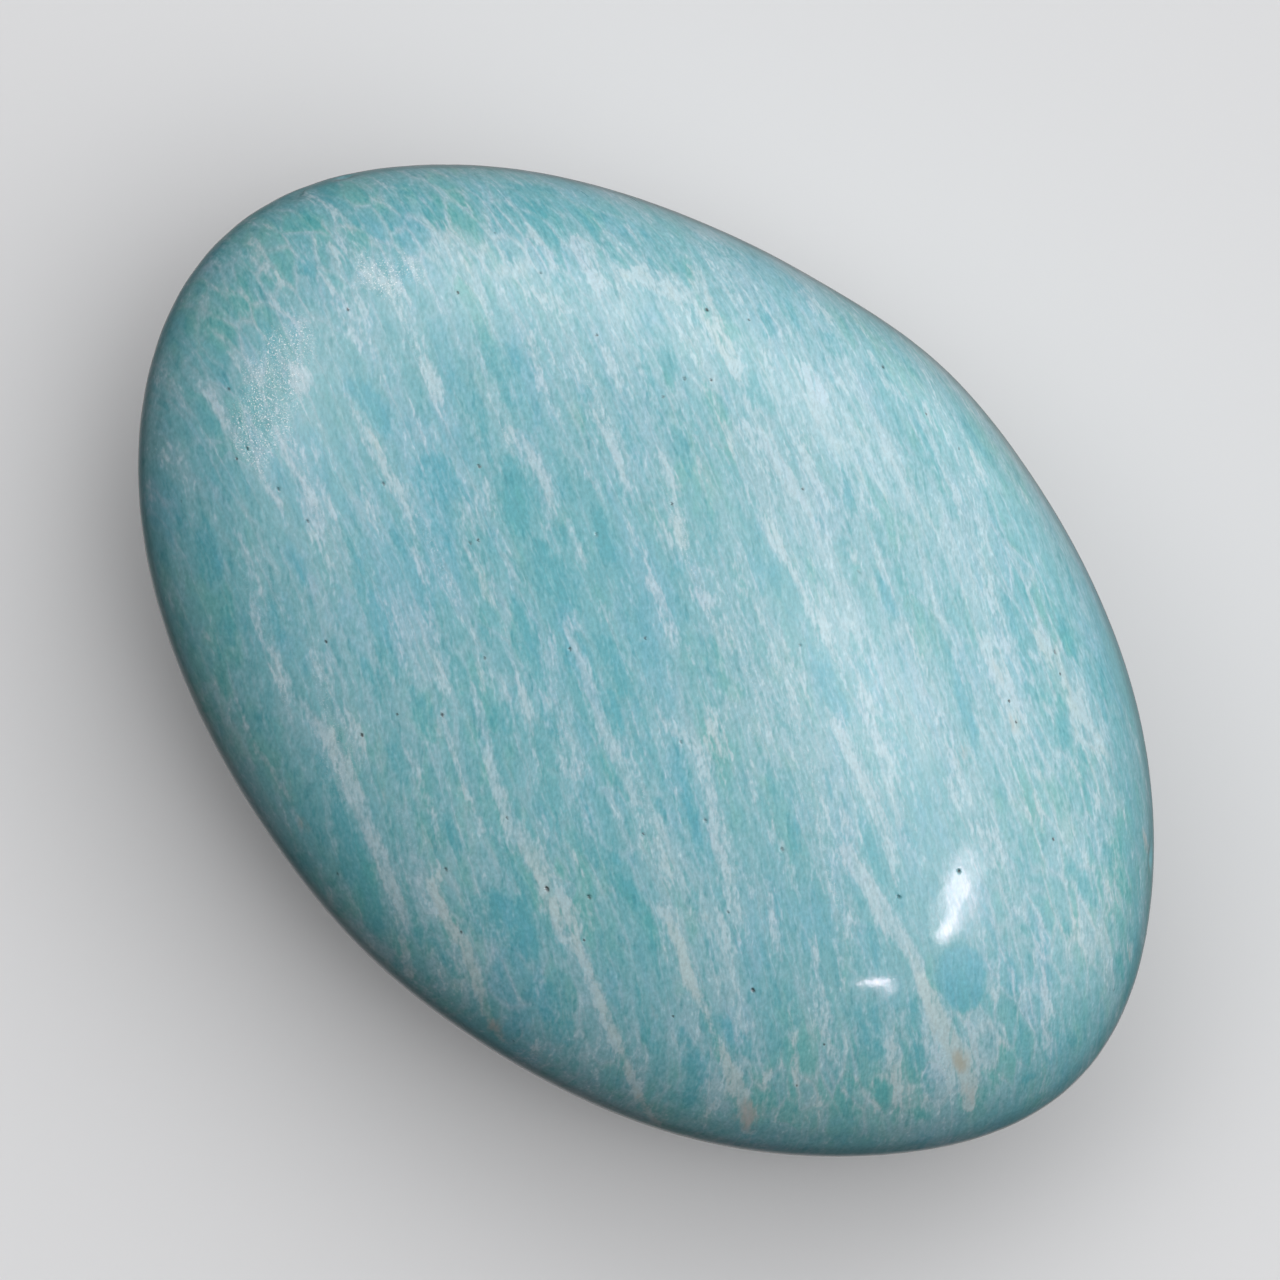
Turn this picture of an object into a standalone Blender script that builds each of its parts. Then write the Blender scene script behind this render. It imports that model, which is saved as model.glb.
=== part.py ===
"""A polished amazonite palm stone: one flattened, rounded pebble that lies on a small flat.

Lengths are in metres and +Z is up. +X runs along the longest diameter. The origin is on
the surface that the stone rests on, under the middle of its outline.
"""

import math

import bmesh
import bpy

MM = 0.001

# The outline seen from above, as its reach from the centre at even turns from +X to +Y.
OUTLINE_REACH_MM = (
    35.0, 31.7, 27.5, 24.8, 24.0, 24.1, 26.5, 31.1,
    35.0, 32.4, 27.8, 24.8, 24.0, 24.7, 27.4, 31.5,
)
HALF_LENGTH = 35.0 * MM
HALF_WIDTH = 24.0 * MM

# Heights above the surface that the stone rests on.
CROWN_HEIGHT = 25.0 * MM
GIRTH_HEIGHT = 11.6 * MM
GIRTH_ROLL = 0.7 * MM
GIRTH_ROLL_DIRECTION = math.radians(205)

# How square the rounding is: 2 is an ellipse, and a larger number has a flatter face
# and a tighter shoulder.
CROWN_FULLNESS = 2.7
BELLY_FULLNESS = 2.4

# The top of the crown stands a little off the middle, as hand grinding leaves it.
CROWN_SHIFT = (-1.4 * MM, 0.9 * MM)

# The flat underneath, as a share of the outline's size.
FOOT_SHARE = 0.27

SEGMENTS = 80
CROWN_RINGS = 20
BELLY_RINGS = 15
PROFILE_SAMPLES = 400

STONE_COLOUR = (0.24, 0.48, 0.53, 1.0)
STONE_ROUGHNESS = 0.2


def clear_scene():
    for obj in list(bpy.data.objects):
        bpy.data.objects.remove(obj)


def ellipse_reach(angle):
    """Distance from the centre to the plain ellipse that the outline departs from."""
    along = HALF_WIDTH * math.cos(angle)
    across = HALF_LENGTH * math.sin(angle)
    return HALF_LENGTH * HALF_WIDTH / math.hypot(along, across)


def outline_swell(angle):
    """The outline's reach over the ellipse's, on a smooth closed curve through the
    measured reaches."""
    count = len(OUTLINE_REACH_MM)
    step = math.tau / count
    place = (angle % math.tau) / step
    first = int(place)
    t = place - first
    before, here, after, beyond = (
        OUTLINE_REACH_MM[k % count] * MM / ellipse_reach(k * step)
        for k in range(first - 1, first + 3)
    )
    slope_here = (after - before) / 2
    slope_after = (beyond - here) / 2
    rise = after - here
    return (
        here
        + slope_here * t
        + (3 * rise - 2 * slope_here - slope_after) * t**2
        + (slope_here + slope_after - 2 * rise) * t**3
    )


def profile_height(share, fullness):
    """How far the rounding has risen, 0 at the girth and 1 over the centre, where its
    ring is that share of the outline."""
    return (1 - share**fullness) ** (1 / fullness)


def profile_shares(fullness, smallest, rings):
    """Ring sizes from just inside the girth to the smallest, at even steps along the
    rounding as it is seen from the side."""
    turns = [k * math.pi / 2 / PROFILE_SAMPLES for k in range(PROFILE_SAMPLES + 1)]
    shares = [max(math.cos(turn), 0.0) ** (2 / fullness) for turn in turns]
    shares = [share for share in shares if share > smallest] + [smallest]
    mean_reach = (HALF_LENGTH + HALF_WIDTH) / 2
    lengths = [0.0]
    for outer, inner in zip(shares, shares[1:]):
        inward = (outer - inner) * mean_reach
        upward = (
            profile_height(inner, fullness) - profile_height(outer, fullness)
        ) * GIRTH_HEIGHT
        lengths.append(lengths[-1] + math.hypot(inward, upward))
    found = []
    for ring in range(1, rings + 1):
        wanted = lengths[-1] * ring / rings
        after = next(k for k, length in enumerate(lengths) if length >= wanted - 1e-12)
        span = lengths[after] - lengths[after - 1]
        t = (wanted - lengths[after - 1]) / span
        found.append(shares[after - 1] + t * (shares[after] - shares[after - 1]))
    return found


def ring_point(angle, share):
    """A ring's place from above. Small rings are plain ellipses, and large ones have the
    outline's own swells."""
    swell = 1 + (outline_swell(angle) - 1) * share**2
    reach = ellipse_reach(angle) * swell * share
    return reach * math.cos(angle), reach * math.sin(angle)


def girth_height(angle):
    return GIRTH_HEIGHT + GIRTH_ROLL * math.cos(angle - GIRTH_ROLL_DIRECTION)


def crown_ring(bm, share):
    rise = profile_height(share, CROWN_FULLNESS)
    shift_x, shift_y = (shift * rise**2 for shift in CROWN_SHIFT)
    ring = []
    for segment in range(SEGMENTS):
        angle = math.tau * segment / SEGMENTS
        x, y = ring_point(angle, share)
        girth = girth_height(angle)
        z = girth + (CROWN_HEIGHT - girth) * rise
        ring.append(bm.verts.new((x + shift_x, y + shift_y, z)))
    return ring


def belly_ring(bm, share):
    drop = profile_height(share, BELLY_FULLNESS)
    foot_drop = profile_height(FOOT_SHARE, BELLY_FULLNESS)
    ring = []
    for segment in range(SEGMENTS):
        angle = math.tau * segment / SEGMENTS
        x, y = ring_point(angle, share)
        z = girth_height(angle) * (1 - drop / foot_drop)
        ring.append(bm.verts.new((x, y, z)))
    return ring


def join_rings(bm, lower, upper):
    for k in range(SEGMENTS):
        after = (k + 1) % SEGMENTS
        bm.faces.new((lower[k], lower[after], upper[after], upper[k]))


def build_stone_mesh():
    """The pebble as rings from the foot over the girth to the crown, with the foot as one
    flat face."""
    bm = bmesh.new()
    girth = crown_ring(bm, 1.0)

    belly = [belly_ring(bm, s) for s in profile_shares(BELLY_FULLNESS, FOOT_SHARE, BELLY_RINGS)]
    for upper, lower in zip([girth, *belly], belly):
        join_rings(bm, lower, upper)
    bm.faces.new(reversed(belly[-1]))

    # The last share is the centre itself, which is one point and not a ring.
    crown_shares = profile_shares(CROWN_FULLNESS, 0.0, CROWN_RINGS)[:-1]
    crown = [crown_ring(bm, share) for share in crown_shares]
    for lower, upper in zip([girth, *crown], crown):
        join_rings(bm, lower, upper)
    top = bm.verts.new((*CROWN_SHIFT, CROWN_HEIGHT))
    for k in range(SEGMENTS):
        bm.faces.new((crown[-1][k], crown[-1][(k + 1) % SEGMENTS], top))

    mesh = bpy.data.meshes.new("stone")
    bm.to_mesh(mesh)
    bm.free()
    mesh.shade_smooth()
    mesh.set_sharp_from_angle(angle=math.radians(30))
    return mesh


def amazonite_material():
    material = bpy.data.materials.new("amazonite")
    material.use_nodes = True
    shader = material.node_tree.nodes["Principled BSDF"]
    shader.inputs["Base Color"].default_value = STONE_COLOUR
    shader.inputs["Roughness"].default_value = STONE_ROUGHNESS
    shader.inputs["Metallic"].default_value = 0.0
    material.diffuse_color = STONE_COLOUR
    return material


def build_stone():
    mesh = build_stone_mesh()
    mesh.materials.append(amazonite_material())
    stone = bpy.data.objects.new("stone", mesh)
    bpy.context.scene.collection.objects.link(stone)
    return stone


clear_scene()
build_stone()
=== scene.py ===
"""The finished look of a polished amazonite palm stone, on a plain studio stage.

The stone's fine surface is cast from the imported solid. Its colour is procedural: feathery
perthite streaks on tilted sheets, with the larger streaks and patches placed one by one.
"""

import math
import random

import bmesh
import bpy
import numpy as np
from bpy.props import FloatProperty, FloatVectorProperty, IntProperty, PointerProperty
from bpy.types import Operator, Panel, PropertyGroup
from mathutils import Matrix, Vector
from mathutils.bvhtree import BVHTree
from mathutils.kdtree import KDTree


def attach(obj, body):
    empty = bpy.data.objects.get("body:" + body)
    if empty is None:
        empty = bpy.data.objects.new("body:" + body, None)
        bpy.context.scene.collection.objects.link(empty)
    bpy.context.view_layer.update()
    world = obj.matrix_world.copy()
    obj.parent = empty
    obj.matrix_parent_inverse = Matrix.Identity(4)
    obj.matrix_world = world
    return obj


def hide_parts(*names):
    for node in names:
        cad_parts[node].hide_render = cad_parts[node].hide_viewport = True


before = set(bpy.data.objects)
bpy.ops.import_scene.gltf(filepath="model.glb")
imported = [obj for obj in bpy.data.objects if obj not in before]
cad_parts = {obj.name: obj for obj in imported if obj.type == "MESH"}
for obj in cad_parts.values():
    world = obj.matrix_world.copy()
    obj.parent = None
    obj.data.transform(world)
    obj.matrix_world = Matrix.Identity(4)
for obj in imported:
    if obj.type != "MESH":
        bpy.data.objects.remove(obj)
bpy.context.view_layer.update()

bl_info = {
    "name": "Amazonite Palm Stone",
    "version": (1, 0, 0),
    "blender": (4, 5, 0),
    "location": "3D View > Sidebar > Palm Stone",
    "description": "Builds a polished amazonite palm stone and a studio stage for it",
    "category": "Add Mesh",
}

MM = 0.001

# The photograph's frame, and how the stone lies in it. A pixel's size is that at the girth.
PHOTO_SIDE_PX = 1280
STONE_CENTRE_PX = (652.5, 658.3)
PIXEL = 0.05855 * MM
GIRTH_HEIGHT = 11.6 * MM
STONE_TURN = math.radians(45)
LENS_MM = 180.0
SENSOR_MM = 36.0

IMAGE_RIGHT = Vector((math.cos(STONE_TURN), math.sin(STONE_TURN), 0))
IMAGE_UP = Vector((-math.sin(STONE_TURN), math.cos(STONE_TURN), 0))
CAMERA_PLACE = (
    IMAGE_RIGHT * (PHOTO_SIDE_PX / 2 - STONE_CENTRE_PX[0]) * PIXEL
    + IMAGE_UP * (STONE_CENTRE_PX[1] - PHOTO_SIDE_PX / 2) * PIXEL
    + Vector((0, 0, GIRTH_HEIGHT + PHOTO_SIDE_PX * PIXEL * LENS_MM / SENSOR_MM))
)

# The sheets that the streaks lie on: the direction across them, as right, up and towards
# the camera in the photograph.
ACROSS_SHEETS_SEEN = (0.93, 0.37, -0.41)

# Tints run from -1 to 1: lilac to cream in pale matter, blue to green in clear matter, and
# pink to rust in stains. A plain mark's tint is 0.
LILAC = BLUE = PINK = -1.0
CYAN = -0.5
CREAM = GREEN = RUST = 1.0

# Marks and zones are placed in rows of width in pixels, strength, x and y of the
# photograph along the mark, and its tint where it isn't plain. A mark with one point is a
# short spot.
# Pale streaks. Three rows are painted sheen and highlights instead, as marked.
PALE_STREAKS_AND_PAINTED_SHEEN = (
    # Upper left end
    (8, 0.5, 305, 192, 345, 215),
    (8, 0.5, 372, 178, 412, 205),
    (8, 0.8, 345, 222, 385, 250, CREAM),
    (8, 0.5, 232, 243, 262, 268, 280, 285),
    (8, 0.5, 300, 237, 325, 262),
    (8, 0.6, 385, 240, 415, 270),
    (20, 0.4, 330, 245, 400, 290),
    (60, 0.2, 335, 300, 352, 345),
    # A painted highlight: the soft white spot where the light is mirrored at the left end of the
    # shoulder's sheen.
    (20, 0.8, 300, 380),
    (12, 0.4, 205, 280, 225, 300, CREAM),
    (8, 0.5, 250, 290, 285, 310, 300, 335),
    (8, 0.4, 200, 330, 240, 370),
    (14, 0.4, 215, 410, 240, 440, LILAC),
    (8, 0.8, 345, 395, 380, 450, 390, 490, CREAM),
    (12, 0.6, 425, 360, 440, 400, CREAM),
    (8, 0.8, 275, 430, 292, 470, 300, 500),
    (8, 0.6, 248, 455, 258, 475),
    (8, 0.6, 268, 490, 285, 510),
    # Top edge
    (8, 0.6, 495, 190, 515, 210),
    (8, 0.6, 480, 195, 490, 215),
    (16, 0.7, 535, 235),
    (8, 0.7, 500, 250, 515, 265, LILAC),
    # Painted sheen: a pale band where the broad light is mirrored along the top shoulder.
    (16, 0.5, 525, 290, 570, 310),
    (20, 0.6, 575, 240, 600, 290, LILAC),
    (8, 0.6, 625, 225, 640, 240),
    (22, 0.6, 620, 270, 700, 300),
    (25, 0.6, 690, 270, 720, 340, 740, 380, CREAM),
    (10, 0.5, 530, 330, 540, 390, CREAM),
    (8, 0.6, 605, 350, 620, 390),
    (11, 0.7, 590, 408, 612, 448, 624, 478, 630, 508),
    (8, 0.6, 570, 520, 583, 556, 596, 586, 608, 620),
    (13, 0.8, 515, 430, 545, 480, 550, 525),
    (12, 0.6, 740, 420, 760, 450),
    (8, 0.5, 690, 400, 700, 470),
    # Upper right shoulder
    (10, 0.8, 870, 355, 885, 380, 905, 400),
    (15, 0.7, 800, 365, 825, 400, LILAC),
    (9, 0.8, 925, 405, 937, 430),
    (9, 0.8, 970, 450, 985, 485),
    (8, 0.5, 785, 430, 795, 475),
    (8, 0.8, 765, 455, 775, 485),
    (15, 0.6, 800, 290, 830, 320, CREAM),
    (8, 0.7, 765, 350, 775, 375, CREAM),
    # Left
    (16, 0.6, 300, 480, 320, 545, LILAC),
    (8, 0.6, 312, 440, 330, 500, 337, 530),
    (9, 0.7, 362, 440, 400, 490, 420, 560, 432, 620, 442, 680, 445, 720),
    (9, 0.7, 445, 720, 460, 780, 482, 825, 512, 855),
    (8, 0.6, 357, 480, 378, 520),
    (8, 0.7, 362, 550, 392, 620, 410, 680),
    (8, 0.6, 230, 520, 247, 560, 257, 600),
    (8, 0.6, 250, 600, 262, 640, 300, 690),
    (12, 0.4, 320, 550, 340, 600, CREAM),
    (10, 0.5, 325, 655, 332, 690),
    (14, 0.5, 270, 660, 300, 705),
    (8, 0.7, 205, 630, 217, 660, 240, 705, 255, 745, 285, 790, 303, 830),
    (8, 0.5, 275, 590, 290, 620, CREAM),
    # Centre
    (8, 0.6, 585, 470, 597, 500),
    (26, 0.5, 465, 500, 475, 560, 492, 600, CREAM),
    (8, 0.6, 480, 460, 497, 515),
    (13, 0.6, 620, 565, 637, 610, 642, 650),
    (8, 0.6, 735, 560, 748, 600, 762, 632, 768, 660),
    (8, 0.6, 650, 580, 667, 610, 690, 655, 702, 680),
    (8, 0.7, 655, 450, 682, 495),
    (16, 0.5, 652, 498, 664, 536, 668, 556, CREAM),
    (14, 0.5, 676, 512, 686, 548, CREAM),
    (13, 1.2, 565, 620, 580, 660, 590, 690, 603, 725, 615, 755, 625, 780, 637, 802),
    (10, 0.5, 475, 640, 485, 700),
    (8, 0.6, 548, 625, 557, 655),
    (8, 0.6, 508, 555, 522, 585, LILAC),
    (14, 0.5, 690, 590, 712, 605, LILAC),
    (12, 0.6, 510, 655, 522, 690, 532, 730, 545, 768),
    # Right of the centre
    (11, 0.7, 744, 486, 768, 530, 790, 570, 812, 612, 830, 650, 845, 680, 858, 705),
    (8, 0.6, 725, 440, 737, 480),
    (8, 0.6, 700, 430, 715, 450),
    (8, 0.6, 800, 430, 815, 480, 835, 512, CREAM),
    (12, 0.6, 860, 490, 877, 520),
    (10, 0.6, 845, 540, 857, 565),
    (8, 0.6, 905, 600, 915, 650, 927, 675),
    (8, 0.7, 720, 615, 737, 655, CREAM),
    (8, 0.6, 797, 650, 805, 690),
    (8, 0.6, 955, 495, 960, 520),
    # Right
    (8, 0.8, 988, 585, 1000, 635, 1020, 670),
    (12, 0.6, 1035, 635, 1050, 665, CREAM),
    (30, 0.5, 980, 640, 1000, 690, 1022, 735, CREAM),
    (12, 0.6, 945, 775, 957, 805, CREAM),
    (12, 0.6, 1072, 700, 1085, 725, CREAM),
    (8, 0.6, 885, 750, 900, 790, 917, 835),
    (12, 0.6, 880, 810, 892, 845, LILAC),
    (12, 0.6, 1035, 790, 1042, 835, CREAM),
    # A painted highlight: the pale glow above the window's glint.
    (36, 0.4, 985, 845),
    (8, 0.9, 1142, 830, 1149, 855, CREAM),
    (16, 0.5, 1095, 800),
    # Lower left
    (14, 0.8, 470, 685, 487, 740, 500, 800, 515, 840, LILAC),
    (9, 0.6, 385, 690, 402, 740, 422, 780, 435, 820, 440, 880),
    (20, 0.8, 300, 700, 330, 740, 352, 785, 367, 830, 385, 870, 400, 905, 405, 950, 410, 978),
    (16, 1.0, 430, 880, 447, 920, 467, 950, 475, 975, 485, 1010, 500, 1038, CREAM),
    (8, 0.6, 340, 700, 362, 745),
    # Below the centre
    (17, 0.9, 500, 785, 512, 825, 532, 855, 547, 895, 560, 940),
    (8, 0.5, 562, 800, 577, 850, 587, 882),
    (8, 0.5, 544, 780, 546, 860),
    (18, 0.35, 556, 762, 590, 776),
    (34, 0.5, 556, 900, 590, 930, CREAM),
    (8, 0.6, 625, 700, 635, 740, 642, 758),
    (8, 0.6, 652, 695, 667, 725, 698, 750),
    (8, 0.6, 670, 770, 685, 830, 697, 885),
    (8, 0.6, 655, 840, 672, 885),
    (26, 0.5, 712, 710, 722, 780, CREAM),
    (16, 0.6, 708, 790, 717, 840, 727, 890, 738, 950),
    (8, 0.6, 745, 760, 757, 800),
    (10, 0.6, 765, 800, 787, 860, 800, 900, CREAM),
    (11, 0.7, 770, 880, 780, 965, LILAC),
    (8, 0.6, 745, 860, 752, 900),
    (8, 0.6, 788, 690, 800, 725),
    # Lower right
    (25, 0.6, 860, 690, 895, 760),
    (13, 1.0, 835, 720, 850, 755, 868, 792, 885, 840, 897, 885),
    (17, 1.3, 846, 850, 872, 892, 890, 925, 912, 955, 924, 985),
    (20, 1.3, 922, 980, 933, 1008, 947, 1038, 960, 1056, 968, 1085, 970, 1107, CREAM),
    (8, 0.5, 803, 840, 815, 880, 832, 920, 850, 942),
    (8, 0.6, 843, 800, 850, 850),
    (8, 0.6, 895, 720, 902, 760, 917, 805),
    (8, 0.6, 935, 710, 950, 740, 962, 785),
    (8, 0.6, 980, 740, 1000, 800),
    (10, 0.6, 1005, 745, 1040, 830, CREAM),
    # Lower edge
    (11, 1.1, 572, 938, 590, 970, 602, 1005, 617, 1040, 632, 1080, 647, 1112, 660, 1126, CREAM),
    (10, 1.1, 660, 905, 678, 945, 690, 980, 705, 1010, 720, 1047, CREAM),
    (16, 1.2, 720, 1047, 735, 1080, 745, 1112, 748, 1132, CREAM),
    (14, 0.6, 722, 900, 735, 950),
    (9, 0.8, 790, 1000, 792, 1040, 796, 1085),
    (8, 0.6, 755, 1095, 777, 1060),
    (8, 0.6, 780, 1125, 790, 1090),
    (9, 0.7, 812, 935, 822, 1000, 832, 1052, 843, 1085, 852, 1118),
    (8, 0.6, 845, 900, 860, 932),
    (8, 0.6, 835, 940, 842, 988),
    (8, 0.8, 893, 1038, 896, 1075, 897, 1120),
    (8, 0.7, 990, 925, 996, 1000),
    (9, 0.7, 1040, 900, 1045, 1000, 1048, 1040, 1045, 1080, 1040, 1100),
    (8, 0.6, 1093, 868, 1105, 890, 1112, 925),
    (8, 0.6, 1075, 915, 1082, 945),
    (12, 0.6, 1128, 940, 1132, 962, CREAM),
    (8, 0.6, 1000, 1025, 1007, 1050),
)

CLEAR_WINDOWS = (
    # Upper left end
    (34, 0.6, 225, 250, GREEN),
    (28, 0.6, 240, 295, GREEN),
    (20, 0.6, 213, 325, GREEN),
    (22, 0.7, 262, 325, 272, 355, BLUE),
    (35, 0.7, 352, 385, 385, 430, BLUE),
    (8, 0.7, 318, 330, 320, 350),
    (16, 0.7, 295, 258, 312, 272, BLUE),
    (24, 0.6, 310, 220),
    (12, 0.7, 370, 198, 387, 212, GREEN),
    (28, 0.8, 405, 195, GREEN),
    (20, 0.7, 330, 188, GREEN),
    (28, 0.6, 437, 215),
    (12, 0.7, 390, 228, 402, 248),
    # Top edge
    (8, 0.7, 490, 190, 505, 215),
    (18, 0.7, 510, 185, 552, 190),
    (18, 0.8, 538, 210),
    (9, 0.8, 557, 215, 560, 285, GREEN),
    (26, 0.6, 592, 218, GREEN),
    (10, 0.9, 608, 245, 622, 270),
    (8, 0.8, 638, 230, 643, 245, GREEN),
    (12, 0.8, 648, 258, 660, 285),
    (30, 0.6, 722, 252),
    (16, 0.7, 727, 283),
    (24, 0.6, 482, 330, 497, 370, 506, 405),
    (8, 0.7, 515, 352, 519, 372),
    (10, 0.6, 476, 395, 490, 460),
    (26, 0.9, 512, 460, 522, 530),
    (16, 0.6, 585, 395, BLUE),
    (14, 0.8, 665, 350, 672, 390, GREEN),
    (11, 0.7, 640, 345, 650, 395, 662, 425),
    (10, 0.8, 682, 410, 688, 475),
    (14, 0.5, 620, 410, 635, 465),
    (18, 0.6, 705, 385, 728, 420, GREEN),
    # Upper right shoulder
    (16, 0.7, 765, 300, 768, 335),
    (8, 0.7, 788, 300, 795, 330),
    (26, 0.6, 752, 390),
    (14, 0.7, 890, 338, 915, 375, CYAN),
    (8, 0.7, 840, 312, 850, 335, GREEN),
    (22, 0.6, 950, 410, 985, 455, CYAN),
    (8, 0.9, 920, 430, 940, 475, GREEN),
    (24, 0.6, 835, 345),
    (14, 0.6, 1000, 455, 1020, 485, CYAN),
    # Left
    (34, 0.5, 205, 528, 212, 580, BLUE),
    (16, 0.6, 225, 610, 232, 645, BLUE),
    (15, 0.8, 268, 600, 282, 640),
    (12, 0.6, 178, 520, 182, 560, GREEN),
    (8, 0.7, 248, 452, 258, 478),
    (20, 0.5, 280, 470),
    (24, 0.8, 352, 550, 372, 600, 388, 645, 397, 672),
    (8, 0.8, 300, 555, 303, 590, BLUE),
    (16, 0.6, 428, 485, 442, 560),
    (12, 0.6, 338, 525, 362, 562),
    (20, 0.6, 210, 630, 228, 700, GREEN),
    (8, 0.9, 364, 660, 370, 680),
    (10, 0.5, 400, 510, 402, 560),
    # Centre
    (28, 0.9, 540, 545, 555, 575, 572, 605),
    (16, 0.8, 600, 515, 607, 560),
    (18, 0.7, 568, 535),
    (26, 0.9, 515, 605, 530, 650, 545, 695),
    (9, 0.9, 562, 645, 577, 675),
    (26, 0.6, 605, 640, 628, 700),
    (8, 0.9, 628, 612, 638, 655),
    (12, 0.7, 588, 570, 598, 600),
    (8, 0.8, 655, 480, 668, 512),
    (8, 0.9, 674, 560, 677, 578),
    (16, 0.6, 685, 560, BLUE),
    (11, 0.8, 708, 500, 715, 550),
    (10, 0.6, 480, 605, 487, 645),
    (14, 0.6, 440, 520, 452, 555),
    (44, 0.6, 432, 465, 438, 492, BLUE),
    (9, 0.6, 483, 525, 492, 560),
    (14, 0.6, 447, 650, 465, 700),
    (8, 0.6, 600, 475, 606, 500),
    (8, 0.6, 556, 470, 562, 500, BLUE),
    (14, 0.9, 612, 690, 620, 735),
    # Right of the centre
    (20, 0.6, 712, 640, 722, 695, GREEN),
    (9, 0.7, 752, 555, 762, 595, BLUE),
    (12, 0.6, 768, 565, 778, 595),
    (28, 0.5, 742, 610, 755, 660, BLUE),
    (8, 0.7, 812, 505, 822, 530, BLUE),
    (18, 0.5, 840, 455, 855, 530, BLUE),
    (16, 0.7, 878, 575, 900, 618, BLUE),
    (26, 0.8, 822, 650, 832, 690, 845, 725, CYAN),
    (9, 0.6, 808, 560, 816, 580, GREEN),
    (16, 0.7, 943, 635, 955, 670, 965, 700, 978, 740, 995, 770, 1003, 795, CYAN),
    (8, 0.9, 738, 675, 745, 697),
    (14, 0.6, 775, 695, 792, 740, BLUE),
    (32, 0.4, 865, 655, CYAN),
    (8, 0.6, 988, 600, 997, 620),
    # Right
    (12, 0.7, 1008, 600, 1020, 640, 1032, 670),
    (9, 0.8, 1025, 685, 1047, 700),
    (16, 0.8, 1062, 630, 1072, 655, GREEN),
    (16, 0.9, 1060, 700, 1064, 742),
    (10, 0.8, 1078, 745, 1088, 765),
    (9, 0.8, 1097, 650, 1105, 695),
    (10, 0.7, 1068, 570, 1078, 605),
    (8, 0.6, 1120, 705, 1130, 745),
    (22, 0.7, 1108, 835, 1118, 860),
    (22, 0.9, 862, 800, 870, 845, 882, 888),
    (8, 0.9, 905, 820, 911, 847),
    (10, 0.6, 1022, 580, 1030, 595, BLUE),
    # Lower left
    (40, 0.8, 340, 805, 360, 875, 375, 930),
    (20, 0.6, 318, 760, 342, 810),
    (16, 0.6, 445, 815, 462, 855, BLUE),
    (8, 0.6, 470, 795, 477, 825),
    (50, 0.6, 490, 905, 498, 925, CYAN),
    (9, 0.7, 388, 740, 402, 782, BLUE),
    (22, 0.6, 415, 690, 432, 745),
    (28, 0.7, 435, 945, 470, 985),
    (14, 0.7, 412, 915, 425, 950, GREEN),
    # Below the centre
    (30, 0.6, 505, 705, 508, 725),
    (24, 0.6, 545, 690, 562, 745),
    (12, 0.6, 640, 705, 652, 735),
    (14, 0.6, 603, 755, 618, 790, GREEN),
    (26, 0.5, 570, 790, 595, 860, BLUE),
    (8, 0.8, 613, 850, 617, 865),
    (22, 0.5, 615, 880, 645, 905),
    (12, 0.6, 655, 800, 668, 835),
    (18, 0.7, 682, 745, 690, 810, 695, 900),
    (9, 0.8, 692, 885, 697, 915),
    (24, 0.9, 520, 900, 532, 955),
    (8, 0.8, 508, 930, 512, 950, GREEN),
    (8, 0.9, 648, 905, 656, 945, GREEN),
    (18, 0.5, 735, 855, 742, 890),
    (16, 0.6, 705, 925, 718, 975, BLUE),
    (9, 0.7, 757, 735, 767, 770),
    (22, 0.5, 768, 695, 798, 745, CYAN),
    (12, 0.8, 790, 800, 798, 850, BLUE),
    # Lower right
    (20, 0.6, 852, 735, 880, 785, GREEN),
    (26, 0.5, 765, 765, 800, 800, BLUE),
    (12, 0.6, 825, 765, 832, 800, BLUE),
    (16, 0.6, 845, 875, 862, 905),
    (9, 0.6, 808, 835, 820, 865),
    (8, 0.6, 900, 885, 903, 920, BLUE),
    (10, 0.7, 868, 925, 877, 965, BLUE),
    (14, 0.6, 852, 945, 862, 975),
    (8, 0.6, 830, 900, 836, 930, BLUE),
    (46, 1.6, 958, 956, 966, 1000, CYAN),
    (16, 0.7, 1020, 925, 1030, 935, GREEN),
    (10, 0.6, 1008, 870, 1014, 905),
    (12, 0.7, 1008, 950, 1018, 995, BLUE),
    (10, 0.6, 1033, 945, 1040, 975, GREEN),
    (14, 0.6, 1065, 925, 1075, 935, GREEN),
    # Lower edge
    (34, 0.6, 540, 980, 565, 1040, BLUE),
    (14, 0.6, 640, 1025, 657, 1050),
    (22, 0.8, 720, 1020, 758, 1060, BLUE),
    (26, 0.6, 680, 1030, 700, 1075, 690, 1105, BLUE),
    (16, 0.8, 758, 1080, 772, 1108, GREEN),
    (14, 0.6, 785, 1100, 790, 1125, GREEN),
    (32, 0.6, 860, 1005, 882, 1065, BLUE),
    (22, 0.7, 915, 1000, 922, 1035, GREEN),
    (24, 0.6, 880, 1090, GREEN),
    (8, 0.7, 850, 1072, 857, 1088, GREEN),
    (14, 0.7, 910, 1110, 932, 1118, GREEN),
    (20, 0.6, 915, 1045, 925, 1095, BLUE),
    (20, 0.6, 1058, 1035, 1080, 1042),
    (9, 0.8, 1022, 1082, 1036, 1074),
    (16, 0.6, 985, 1070, 1003, 1080, GREEN),
    (22, 0.6, 1070, 865, 1098, 905, CYAN),
    (20, 0.6, 1110, 860, 1130, 900, GREEN),
    (10, 0.9, 1118, 955, 1123, 978, GREEN),
)
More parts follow.
